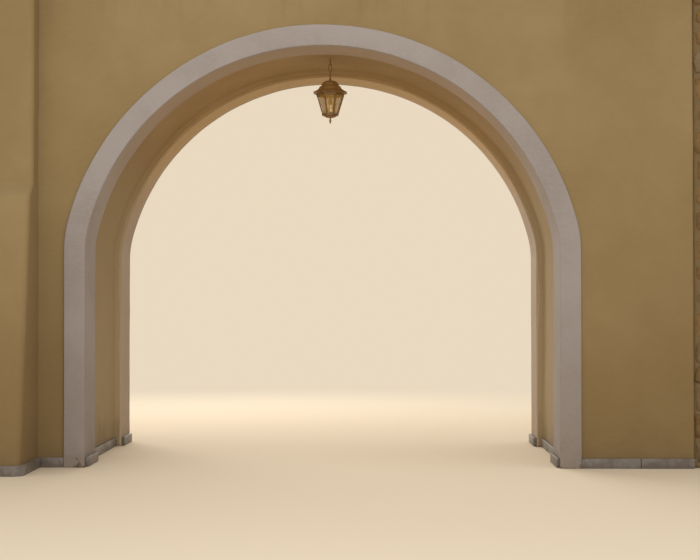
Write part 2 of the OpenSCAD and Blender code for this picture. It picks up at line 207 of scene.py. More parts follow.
def add_piece(name, points, faces, material, replaced=()):
    """New piece that rides on the masonry and stands for the CAD nodes in replaced."""
    mesh = bpy.data.meshes.new(name)
    mesh.from_pydata([tuple(p) for p in points], [], faces)
    mesh.validate()
    mesh.shade_smooth()
    mesh.materials.append(material)
    piece = bpy.data.objects.new(name, mesh)
    bpy.context.scene.collection.objects.link(piece)
    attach(piece, "masonry")
    if replaced:
        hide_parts(*replaced)
    return piece


def read_points(piece):
    """Points of a piece, one in each row."""
    points = np.zeros(len(piece.data.vertices) * 3)
    piece.data.vertices.foreach_get("co", points)
    return points.reshape(-1, 3)


def read_normals(piece):
    """Normals at the points of a piece, one in each row."""
    normals = np.zeros(len(piece.data.vertices) * 3)
    piece.data.vertex_normals.foreach_get("vector", normals)
    return normals.reshape(-1, 3)


def write_points(piece, points):
    """Sets the points of a piece, none of them below the ground."""
    points[:, 2] = np.maximum(points[:, 2], 0)
    piece.data.vertices.foreach_set("co", points.ravel())
    piece.data.update()


def write_share(piece, name, values):
    """Stores one number from 0 to 1 at each point, for the material to read."""
    attribute = piece.data.attributes.new(name, "FLOAT", "POINT")
    attribute.data.foreach_set("value", np.clip(values, 0, 1).astype(np.float32))


def roughen(piece, sizes, seed):
    """Moves each point along its normal by noise."""
    points = read_points(piece)
    write_points(piece, points + read_normals(piece) * waves(points, sizes, seed)[:, None])


def grid_faces(rows, columns, wrap):
    """Quads of a grid of points. With wrap, the last column is joined to the first."""
    faces = []
    for r in range(rows - 1):
        for c in range(columns if wrap else columns - 1):
            n = (c + 1) % columns
            a, b = r * columns, (r + 1) * columns
            faces.append((a + c, a + n, b + n, b + c))
    return faces


def tube_faces(rows, columns):
    """Quads of a closed tube of points, with a face on each end."""
    faces = grid_faces(rows, columns, True)
    faces.append(tuple(reversed(range(columns))))
    faces.append(tuple(range((rows - 1) * columns, rows * columns)))
    return faces


def spaced(start, end, spacing):
    """Numbers from start up to but without end, about spacing apart."""
    count = max(1, round(abs(end - start) / spacing))
    return [start + (end - start) * i / count for i in range(count)]


def rounded_outline(corners):
    """Closed outline through corners given as (u, v, radius, spacing of the side that follows)."""
    arc_steps = 4
    count = len(corners)
    outline, starts, ends = [], [], []
    for i, (u, v, radius, _) in enumerate(corners):
        here = Vector((u, v))
        before = (Vector(corners[i - 1][:2]) - here).normalized()
        after = (Vector(corners[(i + 1) % count][:2]) - here).normalized()
        starts.append(here + before * radius)
        ends.append(here + after * radius)
    for i, (u, v, radius, spacing) in enumerate(corners):
        here = Vector((u, v))
        if radius > 0:
            for k in range(arc_steps):
                t = k / arc_steps
                a = starts[i].lerp(here, t)
                b = here.lerp(ends[i], t)
                outline.append(a.lerp(b, t))
        nearest, target = ends[i], starts[(i + 1) % count]
        for t in spaced(0, 1, spacing / max((target - nearest).length, spacing)):
            outline.append(nearest.lerp(target, t))
    return outline


# Arch-shaped surfaces

def arch_stations(fine_foot):
    """Places from the left foot to the right foot: (side, height on the jamb, angle above it)."""
    if fine_foot:
        jamb = spaced(0, FINE_FOOT_H, FINE) + spaced(FINE_FOOT_H, HAUNCH_Z, MEDIUM)
    else:
        jamb = spaced(0, HAUNCH_Z, MEDIUM)
    turns = spaced(0, HAUNCH_ANGLE, MEDIUM / HAUNCH_R)
    turns += spaced(HAUNCH_ANGLE, math.pi / 2, MEDIUM / ARC_R)
    left = [(-1, z, 0) for z in jamb] + [(-1, HAUNCH_Z, a) for a in turns]
    right = [(1, z, a) for _, z, a in reversed(left)]
    return left + [(1, HAUNCH_Z, math.pi / 2)] + right


def arch_point(station, offset):
    """X and Z at a station, on the line that lies offset outside the white arch's inner edge."""
    side, z, angle = station
    if angle < HAUNCH_ANGLE:
        radius = HAUNCH_R + offset
        return side * (HAUNCH_X + radius * math.cos(angle)), z + radius * math.sin(angle)
    radius = ARC_R + offset
    return side * radius * math.cos(angle), ARC_Z + radius * math.sin(angle)


def arch_offset(x, z):
    """Distance of a point outside the white arch's inner edge."""
    x = abs(x)
    if z < HAUNCH_Z:
        return x - HALF_OPEN
    if math.atan2(z - HAUNCH_Z, x - HAUNCH_X) < HAUNCH_ANGLE:
        return math.hypot(x - HAUNCH_X, z - HAUNCH_Z) - HAUNCH_R
    return math.hypot(x, z - ARC_Z) - ARC_R


def swept_arch(outline, stations):
    """Points of a closed outline of (offset, y) carried along the arch."""
    points = []
    for station in stations:
        for offset, y in outline:
            x, z = arch_point(station, offset)
            points.append((x, y, z))
    return np.array(points)


# Chips in the white plaster: centre (x, z), half sizes (x, z) and depth
FRONT_CHIPS = [
    ((-1.392, 0.000), (0.024, 0.013), 0.012),
    ((-1.388, 0.014), (0.010, 0.014), 0.012),
    ((-1.361, 0.000), (0.016, 0.010), 0.012),
    ((-1.403, 0.052), (0.004, 0.005), 0.004),
    ((-1.395, 0.040), (0.003, 0.004), 0.004),
    ((1.482, 0.004), (0.015, 0.024), 0.013),
    ((1.361, 0.002), (0.010, 0.011), 0.008),
    ((1.398, 0.000), (0.010, 0.005), 0.005),
    ((1.432, 0.000), (0.015, 0.006), 0.006),
]
BACK_CHIPS = [
    ((-1.478, 0.006), (0.020, 0.020), 0.014),
    ((1.392, 0.004), (0.024, 0.014), 0.012),
    ((1.440, 0.070), (0.008, 0.007), 0.005),
]


def chip(piece, chips, y):
    """Knocks chips into the foot of a white surround and marks them as bare."""
    points = read_points(piece)
    normals = read_normals(piece)
    ragged = waves(points, [(0.35, 0.012)], 5)
    bare = np.zeros(len(points))
    sunk = np.zeros(len(points))
    for (x, z), (half_x, half_z), depth in chips:
        reach = np.sqrt(((points[:, 0] - x) / half_x) ** 2 + ((points[:, 2] - z) / half_z) ** 2
                        + ((points[:, 1] - y) / half_x) ** 2)
        # 1 in the middle of the chip, down to 0 at its ragged rim
        share = np.clip(1.25 - reach + ragged, 0, 1)
        bare = np.maximum(bare, np.clip(share * 3, 0, 1))
        sunk = np.maximum(sunk, share * depth)
    write_points(piece, points - normals * sunk[:, None])
    write_share(piece, "bare", bare)


def white_surround(name, side, chips, seed, replaced, material):
    """White jambs and arch ring of one face as one plastered piece. side is -1 for the front."""
    outline = rounded_outline([
        (0, side * BAND_Y, SURROUND_ARRIS, FINE),
        (BAND_W, side * BAND_Y, SURROUND_ARRIS, HIDDEN),
        (BAND_W, side * INNER_Y, 0, HIDDEN),
        (0, side * INNER_Y, SURROUND_ARRIS, MEDIUM),
    ])
    if side > 0:
        outline.reverse()
    stations = arch_stations(True)
    points = swept_arch(outline, stations)
    faces = tube_faces(len(stations), len(outline))
    piece = add_piece(name, points, faces, material, replaced=replaced)
    roughen(piece, TRIM_WAVES, seed)
    chip(piece, chips, side * BAND_Y)


# Rendered wall faces

def wall_outline(left, stations):
    """Outline of a wall face as (x, z): from the buttress around the arch to the pier and back."""
    outline = [(x, 0) for x in spaced(left, -HALF_BAND, COARSE)]
    outline += [arch_point(s, BAND_W - BURIED) for s in stations]
    outline += [(x, 0) for x in spaced(HALF_BAND, PIER_X, COARSE)]
    outline += [(PIER_X, z) for z in spaced(0, WALL_H, COARSE)]
    outline += [(x, WALL_H) for x in spaced(PIER_X, left, COARSE)]
    return outline + [(left, z) for z in spaced(WALL_H, 0, COARSE)]


def wall_filling(left, stations, seed):
    """Points (x, z) inside that outline: rows along the fillet, then a grid with some jitter."""
    rng = np.random.default_rng(seed)
    flat_to = PIER_X - 0.02
    columns = list(np.arange(left + MEDIUM, flat_to, MEDIUM))
    # Beyond that the columns follow the rounded edge beside the pier, without jitter
    columns += [PIER_X - d for d in (WALL_ARRIS, 0.010, 0.006, 0.003, 0.001)]
    filling = []
    for i in range(FILLET_STEPS + 1):
        row = FILLET * (1 - math.sin(math.pi / 2 * i / FILLET_STEPS))
        filling += [arch_point(s, BAND_W + row) for s in stations[1:-1]]
    for x in columns:
        for z in np.arange(MEDIUM, WALL_H - MEDIUM / 2, MEDIUM):
            jitter = rng.uniform(-0.2, 0.2, 2) * MEDIUM * (x < flat_to)
            px, pz = x + jitter[0], z + jitter[1]
            if arch_offset(px, pz) > BAND_W + FILLET + FINE:
                filling.append((px, pz))
    return filling


def wall_face(name, side, seed, replaced, material):
    """Rendered wall of one face, from the buttress to the stone pier and around the arch."""
    left = BUTTRESS_X - OVERLAP
    stations = arch_stations(False)
    loop = wall_outline(left, stations)
    flat = [Vector(p) for p in loop + wall_filling(left, stations, seed)]
    verts, _, tris, origin = delaunay_2d_cdt(flat, [], [list(range(len(loop)))], 1, 1e-6)[:4]
    front = np.array([(v.x, 0, v.y) for v in verts])
    edge = np.clip(1 - (PIER_X - front[:, 0]) / WALL_ARRIS, 0, 1)
    front[:, 1] = -FACE_Y + WALL_ARRIS * (1 - np.sqrt(1 - edge ** 2))
    outside = np.array([arch_offset(x, z) - BAND_W for x, _, z in front])
    near = np.clip(1 - outside / FILLET, 0, 1)
    front[:, 1] -= FILLET * (1 - np.sqrt(1 - near ** 2))
    count = len(front)
    # The rim of the made face, in the order of the outline, is carried back to the passage's end
    ring = {}
    for i, sources in enumerate(origin):
        for s in sources:
            if s < len(loop):
                ring[s] = i
    rim = [ring[i] for i in range(len(loop))]
    back = front[rim].copy()
    back[:, 1] = -INNER_Y
    points = np.vstack([front, back])
    faces = [tuple(t) for t in tris]
    for i in range(len(rim)):
        n = (i + 1) % len(rim)
        faces.append((rim[n], rim[i], count + i, count + n))
    faces.append(tuple(count + i for i in reversed(range(len(rim)))))
    if side > 0:
        points[:, 1] *= -1
        faces = [tuple(reversed(f)) for f in faces]
    piece = add_piece(name, points, faces, material, replaced=replaced)
    roughen(piece, FLOAT_WAVES, seed)


def buttress_depth(z):
    """Projection of the buttress from the wall at a height, with a rounded shoulder."""
    heights = (SKIRTING_H, SHOULDER_Z, HEAD_Z)
    depths = (BUTTRESS_FOOT_D, SHOULDER_D, BUTTRESS_HEAD_D)
    nearby = [z + SHOULDER_ROUND * share for share in (-1, -0.5, 0, 0.5, 1)]
    rounded = float(np.mean([np.interp(level, heights, depths) for level in nearby]))
    return min(rounded, float(np.interp(z, heights, depths)))


def end_plan(z):
    """Plan of the left end at a height: both buttresses and the end of the wall between them."""
    arris = BUTTRESS_ARRIS
    arc_steps = 6
    front = FACE_Y + buttress_depth(z)
    quarter = []
    side_steps = round(BUTTRESS_FOOT_D / COARSE)
    for i in range(side_steps):
        quarter.append((BUTTRESS_X, -FACE_Y - (front - arris - FACE_Y) * i / side_steps))
    for centre_x, turn in ((BUTTRESS_X - arris, 0), (LEFT_X + arris, 1)):
        for i in range(arc_steps):
            a = math.pi / 2 * (turn + i / (arc_steps - 1))
            quarter.append((centre_x + arris * math.cos(a), -front + arris - arris * math.sin(a)))
        if turn == 0:
            quarter += [(x, -front) for x in spaced(centre_x, LEFT_X + arris, COARSE)[1:]]
    end_steps = round((FACE_Y + BUTTRESS_HEAD_D) / COARSE)
    for i in range(1, end_steps):
        quarter.append((LEFT_X, (-front + arris) * (1 - i / end_steps)))
    return quarter + [(LEFT_X, 0)] + [(x, -y) for x, y in reversed(quarter)]


def left_end(material):
    """Both buttresses and the rendered end between them as one piece."""
    fine_from, fine_to = SHOULDER_Z - 0.04, HEAD_Z + 0.04
    levels = spaced(0, SKIRTING_H, COARSE) + spaced(SKIRTING_H, fine_from, COARSE)
    levels += spaced(fine_from, fine_to, COARSE / 2)
    levels += spaced(fine_to, WALL_H, COARSE) + [WALL_H]
    rows = [[(x, y, z) for x, y in end_plan(z)] for z in levels]
    points = np.array([p for row in rows for p in row])
    faces = [tuple(reversed(f)) for f in tube_faces(len(rows), len(rows[0]))]
    piece = add_piece("left_end_render", points, faces, material,
                      replaced=["buttress_front", "buttress_back"])
    roughen(piece, FLOAT_WAVES, 3)


def passage_lining(material):
    """Sides and vault of the passage, from the buttress to the stone pier and up to the screed."""
    stations = arch_stations(False)
    half = [(y, RECESS) for y in spaced(0, INNER_Y - COVE_L, COARSE)]
    for i in range(COVE_STEPS + 1):
        a = math.pi / 2 * i / COVE_STEPS
        half.append((INNER_Y - COVE_L + COVE_L * math.sin(a), RECESS - COVE + COVE * math.cos(a)))
    half.append((INNER_Y + BURIED, RECESS - COVE))
    across = [(-y, offset) for y, offset in reversed(half[1:])] + half
    end = half[-1][0]
    points = []
    for station in stations:
        for y, offset in across:
            x, z = arch_point(station, offset)
            points.append((x, y, z))
        outer_x, outer_z = masonry_edge(station, *arch_point(station, RECESS))
        points += [(outer_x, end, outer_z), (outer_x, -end, outer_z)]
    faces = tube_faces(len(stations), len(across) + 2)
    piece = add_piece("passage_lining", points, faces, material,
                      replaced=["passage_side_left", "passage_side_right", "passage_vault"])
    roughen(piece, ROUGH_WAVES, 8)


def masonry_edge(station, x, z):
    """Point on the edge of the wall that lies outwards from a point of the passage."""
    side, foot, angle = station
    edge_x = PIER_X if side > 0 else BUTTRESS_X
    if foot < HAUNCH_Z or angle == 0:
        return edge_x, z
    centre_x, centre_z = (0, ARC_Z) if angle >= HAUNCH_ANGLE else (side * HAUNCH_X, HAUNCH_Z)
    scale = (WALL_H - centre_z) / (z - centre_z)
    if abs(x) > 1e-6:
        scale = min(scale, (edge_x - centre_x) / (x - centre_x))
    return centre_x + (x - centre_x) * scale, centre_z + (z - centre_z) * scale


# Stones of the pier

def box_grid(steps):
    """Points and quads of a cube from -1 to 1 whose sides are divided into steps."""
    index, points, faces = {}, [], []

    def number(p):
        if p not in index:
            index[p] = len(points)
            points.append([2 * c / steps - 1 for c in p])
        return index[p]

    for axis in range(3):
        for side in (0, steps):
            for a in range(steps):
                for b in range(steps):
                    corners = [(a, b), (a + 1, b), (a + 1, b + 1), (a, b + 1)]
                    quad = []
                    for u, v in corners:
                        p = [u, v]
                        p.insert(axis, side)
                        quad.append(number(tuple(p)))
                    flip = (side == 0) != (axis == 1)
                    faces.append(tuple(reversed(quad)) if flip else tuple(quad))
    return np.array(points), faces


STONE_POINTS, STONE_FACES = box_grid(STONE_STEPS)


def rough_stone(lo, hi, rng, seed):
    """Points of one rough stone between two corners, with worn edges and an uneven face."""
    centre = (lo + hi) / 2
    half = (hi - lo) / 2
    # Each corner is moved at random, and the points between them follow
    skew = rng.uniform(-1, 1, (2, 2, 2, 3)) * np.array([0.007, 0.007, 0.010])
    t = (STONE_POINTS + 1) / 2
    shift = np.zeros_like(t)
    for i in (0, 1):
        for j in (0, 1):
            for k in (0, 1):
                weight = (t[:, 0] if i else 1 - t[:, 0]) * (t[:, 1] if j else 1 - t[:, 1])
                weight = weight * (t[:, 2] if k else 1 - t[:, 2])
                shift += weight[:, None] * skew[i, j, k]
    worn = rng.uniform(0.020, 0.034)
    p = STONE_POINTS * half
    core = np.clip(p, -(half - worn), half - worn)
    outward = p - core
    length = np.maximum(np.linalg.norm(outward, axis=1), 1e-9)
    outward = outward / length[:, None]
    p = core + outward * worn
    bumps = waves(p + centre, STONE_WAVES, seed) - STONE_WAVES[0][0]
    p = p + shift + outward * bumps[:, None]
    # A stone stays in its place, but for a few millimetres of the joints around it
    return np.clip(p + centre, lo - 0.006, hi + 0.002)


def split(total, shortest, longest, rng):
    """Random lengths between shortest and longest that add up to total."""
    count = max(1, round(total / ((shortest + longest) / 2)))
    parts = rng.uniform(shortest, longest, count)
    return parts * total / parts.sum()


def course_boxes(z, height, turned, rng):
    """Plan boxes of the stones in one course: two quoins, then what lies between them."""
    width = RIGHT_X - PIER_X
    # The long side of the quoins lies along X in one course and along Y in the next
    quoin_x = width * (0.62 if turned else 0.42)
    quoin_y = rng.uniform(0.16, 0.22) if turned else rng.uniform(0.28, 0.38)
    boxes = []
    for side in (-1, 1):
        outer, inner = side * PIER_Y, side * (PIER_Y - quoin_y)
        y_lo, y_hi = min(outer, inner), max(outer, inner)
        boxes.append((RIGHT_X - quoin_x, y_lo, RIGHT_X, y_hi))
        inner = side * (PIER_Y - STONE_DEPTH)
        y_lo, y_hi = min(outer, inner), max(outer, inner)
        boxes.append((PIER_X, y_lo, RIGHT_X - quoin_x, y_hi))
    y = -PIER_Y + quoin_y
    for length in split(2 * (PIER_Y - quoin_y), *STONE_LENGTHS, rng):
        boxes.append((RIGHT_X - STONE_DEPTH, y, RIGHT_X, y + length))
        y += length
    made = []
    for x_lo, y_lo, x_hi, y_hi in boxes:
        lo = np.array([x_lo, y_lo, z]) + JOINT / 2
        hi = np.array([x_hi, y_hi, z + height]) - JOINT / 2
        # The outer faces stay in the faces of the pier
        hi[0] = RIGHT_X if x_hi == RIGHT_X else hi[0]
        lo[1] = -PIER_Y if y_lo == -PIER_Y else lo[1]
        hi[1] = PIER_Y if y_hi == PIER_Y else hi[1]
        made.append((lo, hi))
    return made


def pier_stones(material):
    """All rough stones of the pier as one piece, with a tone for each stone."""
    rng = np.random.default_rng(21)
    points, faces, tones = [], [], []
    z = 0.0
    for number, height in enumerate(split(WALL_H, *COURSE_HEIGHTS, rng)):
        for lo, hi in course_boxes(z, height, number % 2 == 0, rng):
            stone = rough_stone(lo, hi, rng, len(tones) % 997)
            faces += [tuple(len(points) + i for i in f) for f in STONE_FACES]
            points += stone.tolist()
            tones += [rng.uniform(0, 1)] * len(stone)
        z += height
    piece = add_piece("pier_stones", points, faces, material)
    # Lifts what lies below the ground
    write_points(piece, read_points(piece))
    write_share(piece, "tone", np.array(tones))


def pier_mortar(material):
    """Lime mortar between the stones, set back from their faces."""
    front = PIER_Y - MORTAR_BACK
    right = RIGHT_X - MORTAR_BACK
    arris = 0.02
    # The side that lies against the wall has few points
    outline = rounded_outline([
        (PIER_X, -front, 0, COARSE), (right, -front, arris, COARSE),
        (right, front, arris, COARSE), (PIER_X, front, 0, 0.1),
    ])
    levels = spaced(0, WALL_H, COARSE) + [WALL_H]
    points = [(u, v, z) for z in levels for u, v in outline]
    faces = tube_faces(len(levels), len(outline))
    piece = add_piece("pier_mortar", points, faces, material,
                      replaced=["stone_pier"])
    roughen(piece, MORTAR_WAVES, 31)


# Marble slabs

SLAB_POINTS, SLAB_FACES = box_grid(SLAB_STEPS)


def worn_slab(lo, hi, worn):
    """Points of one slab with rounded edges."""
    half = (hi - lo) / 2
    worn = min(worn, *(half * 0.45))
    step = np.rint((SLAB_POINTS + 1) / 2 * SLAB_STEPS).astype(int)
    p = np.zeros_like(SLAB_POINTS)
    for axis, h in enumerate(half):
        # At each end one point more on the rounded edge, and one where it starts
        line = np.array([-h, -h + worn * 0.3, -h + worn, h - worn, h - worn * 0.3, h])
        p[:, axis] = line[step[:, axis]]
    core = np.clip(p, -(half - worn), half - worn)
    outward = p - core
    length = np.maximum(np.linalg.norm(outward, axis=1), 1e-9)
    p = core + outward / length[:, None] * np.minimum(length, worn)[:, None]
    return p + (hi + lo) / 2


def slab_row(node, axis, slab_l, worn, seed, material):
    """Row of marble slabs in the space of a CAD node, laid along one axis."""
    rng = np.random.default_rng(seed)
    points, faces, tones = [], [], []
    for part_lo, part_hi in component_boxes(node):
        total = part_hi[axis] - part_lo[axis]
        start = part_lo[axis]
        for length in split(total, slab_l * 0.85, slab_l * 1.15, rng):
            lo, hi = part_lo.copy(), part_hi.copy()
            lo[axis] = start + (SLAB_JOINT / 2 if start > part_lo[axis] + 1e-4 else 0)
            start += length
            hi[axis] = start - (SLAB_JOINT / 2 if start < part_hi[axis] - 1e-4 else 0)
            hi[2] -= rng.uniform(0, SLAB_SINK)
            slab = worn_slab(lo, hi, worn)
            faces += [tuple(len(points) + i for i in f) for f in SLAB_FACES]
            points += slab.tolist()
            tones += [rng.uniform(0, 1)] * len(slab)
    piece = add_piece(f"{node}_slabs", points, faces, material, replaced=[node])
    write_share(piece, "tone", np.array(tones))


def component_boxes(node):
    """Boxes of the separate solids of a CAD node, as (lowest corner, highest corner)."""
    lo, hi = (np.array(c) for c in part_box(node))
    if node not in PAIRED_SKIRTINGS:
        return [(lo, hi)]
    thin_lo, thin_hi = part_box("skirting_front_right")
    thickness = thin_hi.y - thin_lo.y
    left_hi, right_lo = hi.copy(), lo.copy()
    left_hi[0] = lo[0] + thickness
    right_lo[0] = hi[0] - thickness
    return [(lo, left_hi), (right_lo, hi)]


def roof_screed(material):
    """Lime screed on the flat top, slightly uneven."""
    spacing = 0.04
    sunk = 0.004
    lo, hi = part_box("roof_screed")
    xs = spaced(lo.x, hi.x, spacing) + [hi.x]
    ys = spaced(lo.y, hi.y, spacing) + [hi.y]
    top = [(x, y, hi.z) for y in ys for x in xs]
    base = [(x, y, lo.z) for y in ys for x in xs]
    points = np.array(top + base)
    level = slice(0, len(top))
    points[level, 2] -= sunk + waves(points[level], SCREED_WAVES, 44)
    count, columns = len(top), len(xs)
    faces = grid_faces(len(ys), columns, False)
    faces += [tuple(count + i for i in reversed(f)) for f in faces]
    rim = list(range(columns)) + [r * columns + columns - 1 for r in range(1, len(ys))]
    rim += [count - 1 - c for c in range(1, columns)]
    rim += [r * columns for r in range(len(ys) - 2, 0, -1)]
    for i, a in enumerate(rim):
        b = rim[(i + 1) % len(rim)]
        faces.append((b, a, count + a, count + b))
    add_piece("screed_surface", points, faces, material, replaced=["roof_screed"])


# Materials

class Shader:
    """Small helper that builds one material from nodes."""

    def __init__(self, name, roughness):
        self.material = bpy.data.materials.new(name)
        self.material.use_nodes = True
        self.tree = self.material.node_tree
        self.surface = self.tree.nodes["Principled BSDF"]
        self.surface.inputs["Roughness"].default_value = roughness
        self.place = self.add("ShaderNodeTexCoord").outputs["Object"]
        self.seed = 0

    def add(self, kind, inputs=None, **settings):
        """New node with its settings made and its inputs fed."""
        node = self.tree.nodes.new(kind)
        for key, value in settings.items():
            setattr(node, key, value)
        for key, value in (inputs or {}).items():
            self.feed(node.inputs[key], value)
        return node

    def feed(self, socket, value):
        """Links the output of another node to a socket, or sets a plain value on it."""
        if isinstance(value, bpy.types.NodeSocket):
            self.tree.links.new(value, socket)
        else:
            socket.default_value = value

    def set(self, key, value):
        """Feeds one input of the surface."""
        self.feed(self.surface.inputs[key], value)

    def moved(self, stretch=(1, 1, 1)):
        """The object's own coordinates, shifted anew each time so that no two patterns agree."""
        self.seed += 1
        inputs = {"Vector": self.place, "Scale": stretch,
                  "Location": (self.seed * 3.7, self.seed * 1.9, self.seed * 5.3)}
        return self.add("ShaderNodeMapping", inputs).outputs["Vector"]

    def noise(self, size, detail=4, roughness=0.55, stretch=(1, 1, 1), twist=0.0):
        """Noise from 0 to 1 whose patches are about as wide as size."""
        inputs = {"Vector": self.moved(stretch), "Scale": 1 / size, "Detail": detail,
                  "Roughness": roughness, "Distortion": twist}
        return self.add("ShaderNodeTexNoise", inputs).outputs["Fac"]

    def crack_lines(self, size):
        """Distance from the edges between random cells about as wide as size."""
        inputs = {"Vector": self.moved(), "Scale": 1 / size}
        node = self.add("ShaderNodeTexVoronoi", inputs, feature="DISTANCE_TO_EDGE")
        return node.outputs["Distance"]

    def share(self, value, low, high, to_low=0.0, to_high=1.0):
        """Smooth step from to_low, where value is low, to to_high, where it is high."""
        inputs = {"Value": value, "From Min": low, "From Max": high,
                  "To Min": to_low, "To Max": to_high}
        node = self.add("ShaderNodeMapRange", inputs, interpolation_type="SMOOTHSTEP")
        return node.outputs["Result"]

    def math(self, operation, a, b=0.0):
        """Result of one operation on one or two values."""
        return self.add("ShaderNodeMath", {0: a, 1: b}, operation=operation).outputs[0]

    def times(self, a, b):
        """Product of two values."""
        return self.math("MULTIPLY", a, b)

    def height(self, axis="Z"):
        """Height above the ground, or the place along another axis, in metres."""
        return self.add("ShaderNodeSeparateXYZ", {0: self.place}).outputs[axis]

    def stored(self, name):
        """Share that write_share has stored at the points."""
        return self.add("ShaderNodeAttribute", attribute_name=name).outputs["Fac"]

    def mix(self, share, a, b):
        """Colour a where share is 0, and b where it is 1."""
        node = self.add("ShaderNodeMix", data_type="RGBA")
        for index, value in ((0, share), (6, a), (7, b)):
            self.feed(node.inputs[index], value)
        return node.outputs[2]

    def bump(self, layers):
        """Bump from pairs of height and depth in metres."""
        normal = None
        for height, depth in layers:
            inputs = {"Height": height, "Distance": depth, "Strength": 1.0}
            node = self.add("ShaderNodeBump", inputs)
            if normal is not None:
                self.tree.links.new(normal, node.inputs["Normal"])
            normal = node.outputs["Normal"]
        self.set("Normal", normal)


def paint_layers(s, pale, deep, streak_top):
    """Colour of limewash over render: clouds, brush marks, grains and rain streaks."""
    colour = s.mix(s.share(s.noise(1.1, 3, 0.5), 0.35, 0.65), pale, deep)
    cloud = s.share(s.noise(0.22, 5, 0.6, twist=0.6), 0.3, 0.7, 0.0, 0.45)
    colour = s.mix(cloud, colour, deep)
    brush = s.share(s.noise(0.05, 5, 0.6, (1, 1, 2.6)), 0.35, 0.7, 0.0, 0.22)
    colour = s.mix(brush, colour, pale)
    grain = s.share(s.noise(0.004, 2, 0.5), 0.55, 0.75, 0.0, 0.25)
    colour = s.mix(grain, colour, deep)
    run = s.share(s.noise(0.07, 4, 0.6, (1, 1, 0.05)), 0.5, 0.75)
    fade = s.share(s.height(), streak_top - 0.55, streak_top, 0.0, 0.35)
    return s.mix(s.times(run, fade), colour, srgb(104, 88, 66))


def splash(s, colour, dirt, top, strength):
    """Dirt thrown up from the ground, ragged at its upper edge."""
    ragged = s.math("ADD", s.height(), s.share(s.noise(0.16, 5, 0.65), 0, 1, -0.16, 0.16))
    share = s.share(ragged, 0.0, top, strength, 0.0)
    return s.mix(share, colour, dirt)


def ochre_render():
    """Limewashed render of the wall and the buttresses, with painted shade that makes it darker
    and browner towards the ground.
    """
    s = Shader("ochre_render", 0.92)
    s.set("Specular IOR Level", 0.25)
    colour = paint_layers(s, srgb(152, 132, 95), srgb(139, 119, 82), WALL_H)
    # Darker and browner towards the ground: painted shade
    colour = s.mix(s.share(s.height(), 0.1, 1.7, 0.42, 0.0), colour, srgb(116, 92, 56))
    colour = splash(s, colour, srgb(112, 92, 65), 0.34, 0.4)
    s.set("Base Color", colour)
    floated = s.noise(0.045, 6, 0.62, (1, 1, 1.8), 0.4)
    s.bump([(floated, 0.0016), (s.noise(0.0035, 3, 0.6), 0.0006)])
    return s.material


def passage_paint(s):
    """Yellow paint of the passage, duller on its sides than overhead."""
    paint = paint_layers(s, srgb(164, 138, 98), srgb(148, 121, 84), WALL_H)
    return s.mix(s.share(s.height(), SIDES_TOP, VAULT_FOOT, 0.75, 0.0), paint, srgb(157, 141, 110))


def edge_paint_with_painted_light(s):
    """Thin coat of the passage paint on the white edges that face it, made lighter than the
    passage paint and paler still overhead: painted light that offsets the shade on these edges.
    """
    # Lighter than the passage paint: painted light
    coat = paint_layers(s, srgb(196, 171, 132), srgb(182, 155, 116), WALL_H)
    coat = s.mix(s.share(s.height(), SIDES_TOP, VAULT_FOOT, 0.75, 0.0), coat, srgb(180, 165, 140))
    return s.mix(s.share(s.height(), HAUNCH_Z, CROWN_Z, 0.0, 0.6), coat, srgb(204, 177, 133))


def passage_render():
    """Rough render of the passage in its yellow paint."""
    s = Shader("passage_render", 0.94)
    s.set("Specular IOR Level", 0.2)
    # The coves at both ends take some of the lighter coat of the edges beside them, as painted
    # light that fills the shade of the corner
    cove_lightening = s.share(s.math("ABSOLUTE", s.height("Y")), INNER_Y - COVE_L / 2, INNER_Y, 0.0, 0.4)
    colour = s.mix(cove_lightening, passage_paint(s), edge_paint_with_painted_light(s))
    s.set("Base Color", splash(s, colour, srgb(112, 92, 66), 0.3, 0.45))
    s.bump([(s.noise(0.03, 6, 0.65), 0.0022), (s.noise(0.004, 3, 0.6), 0.0008)])
    return s.material


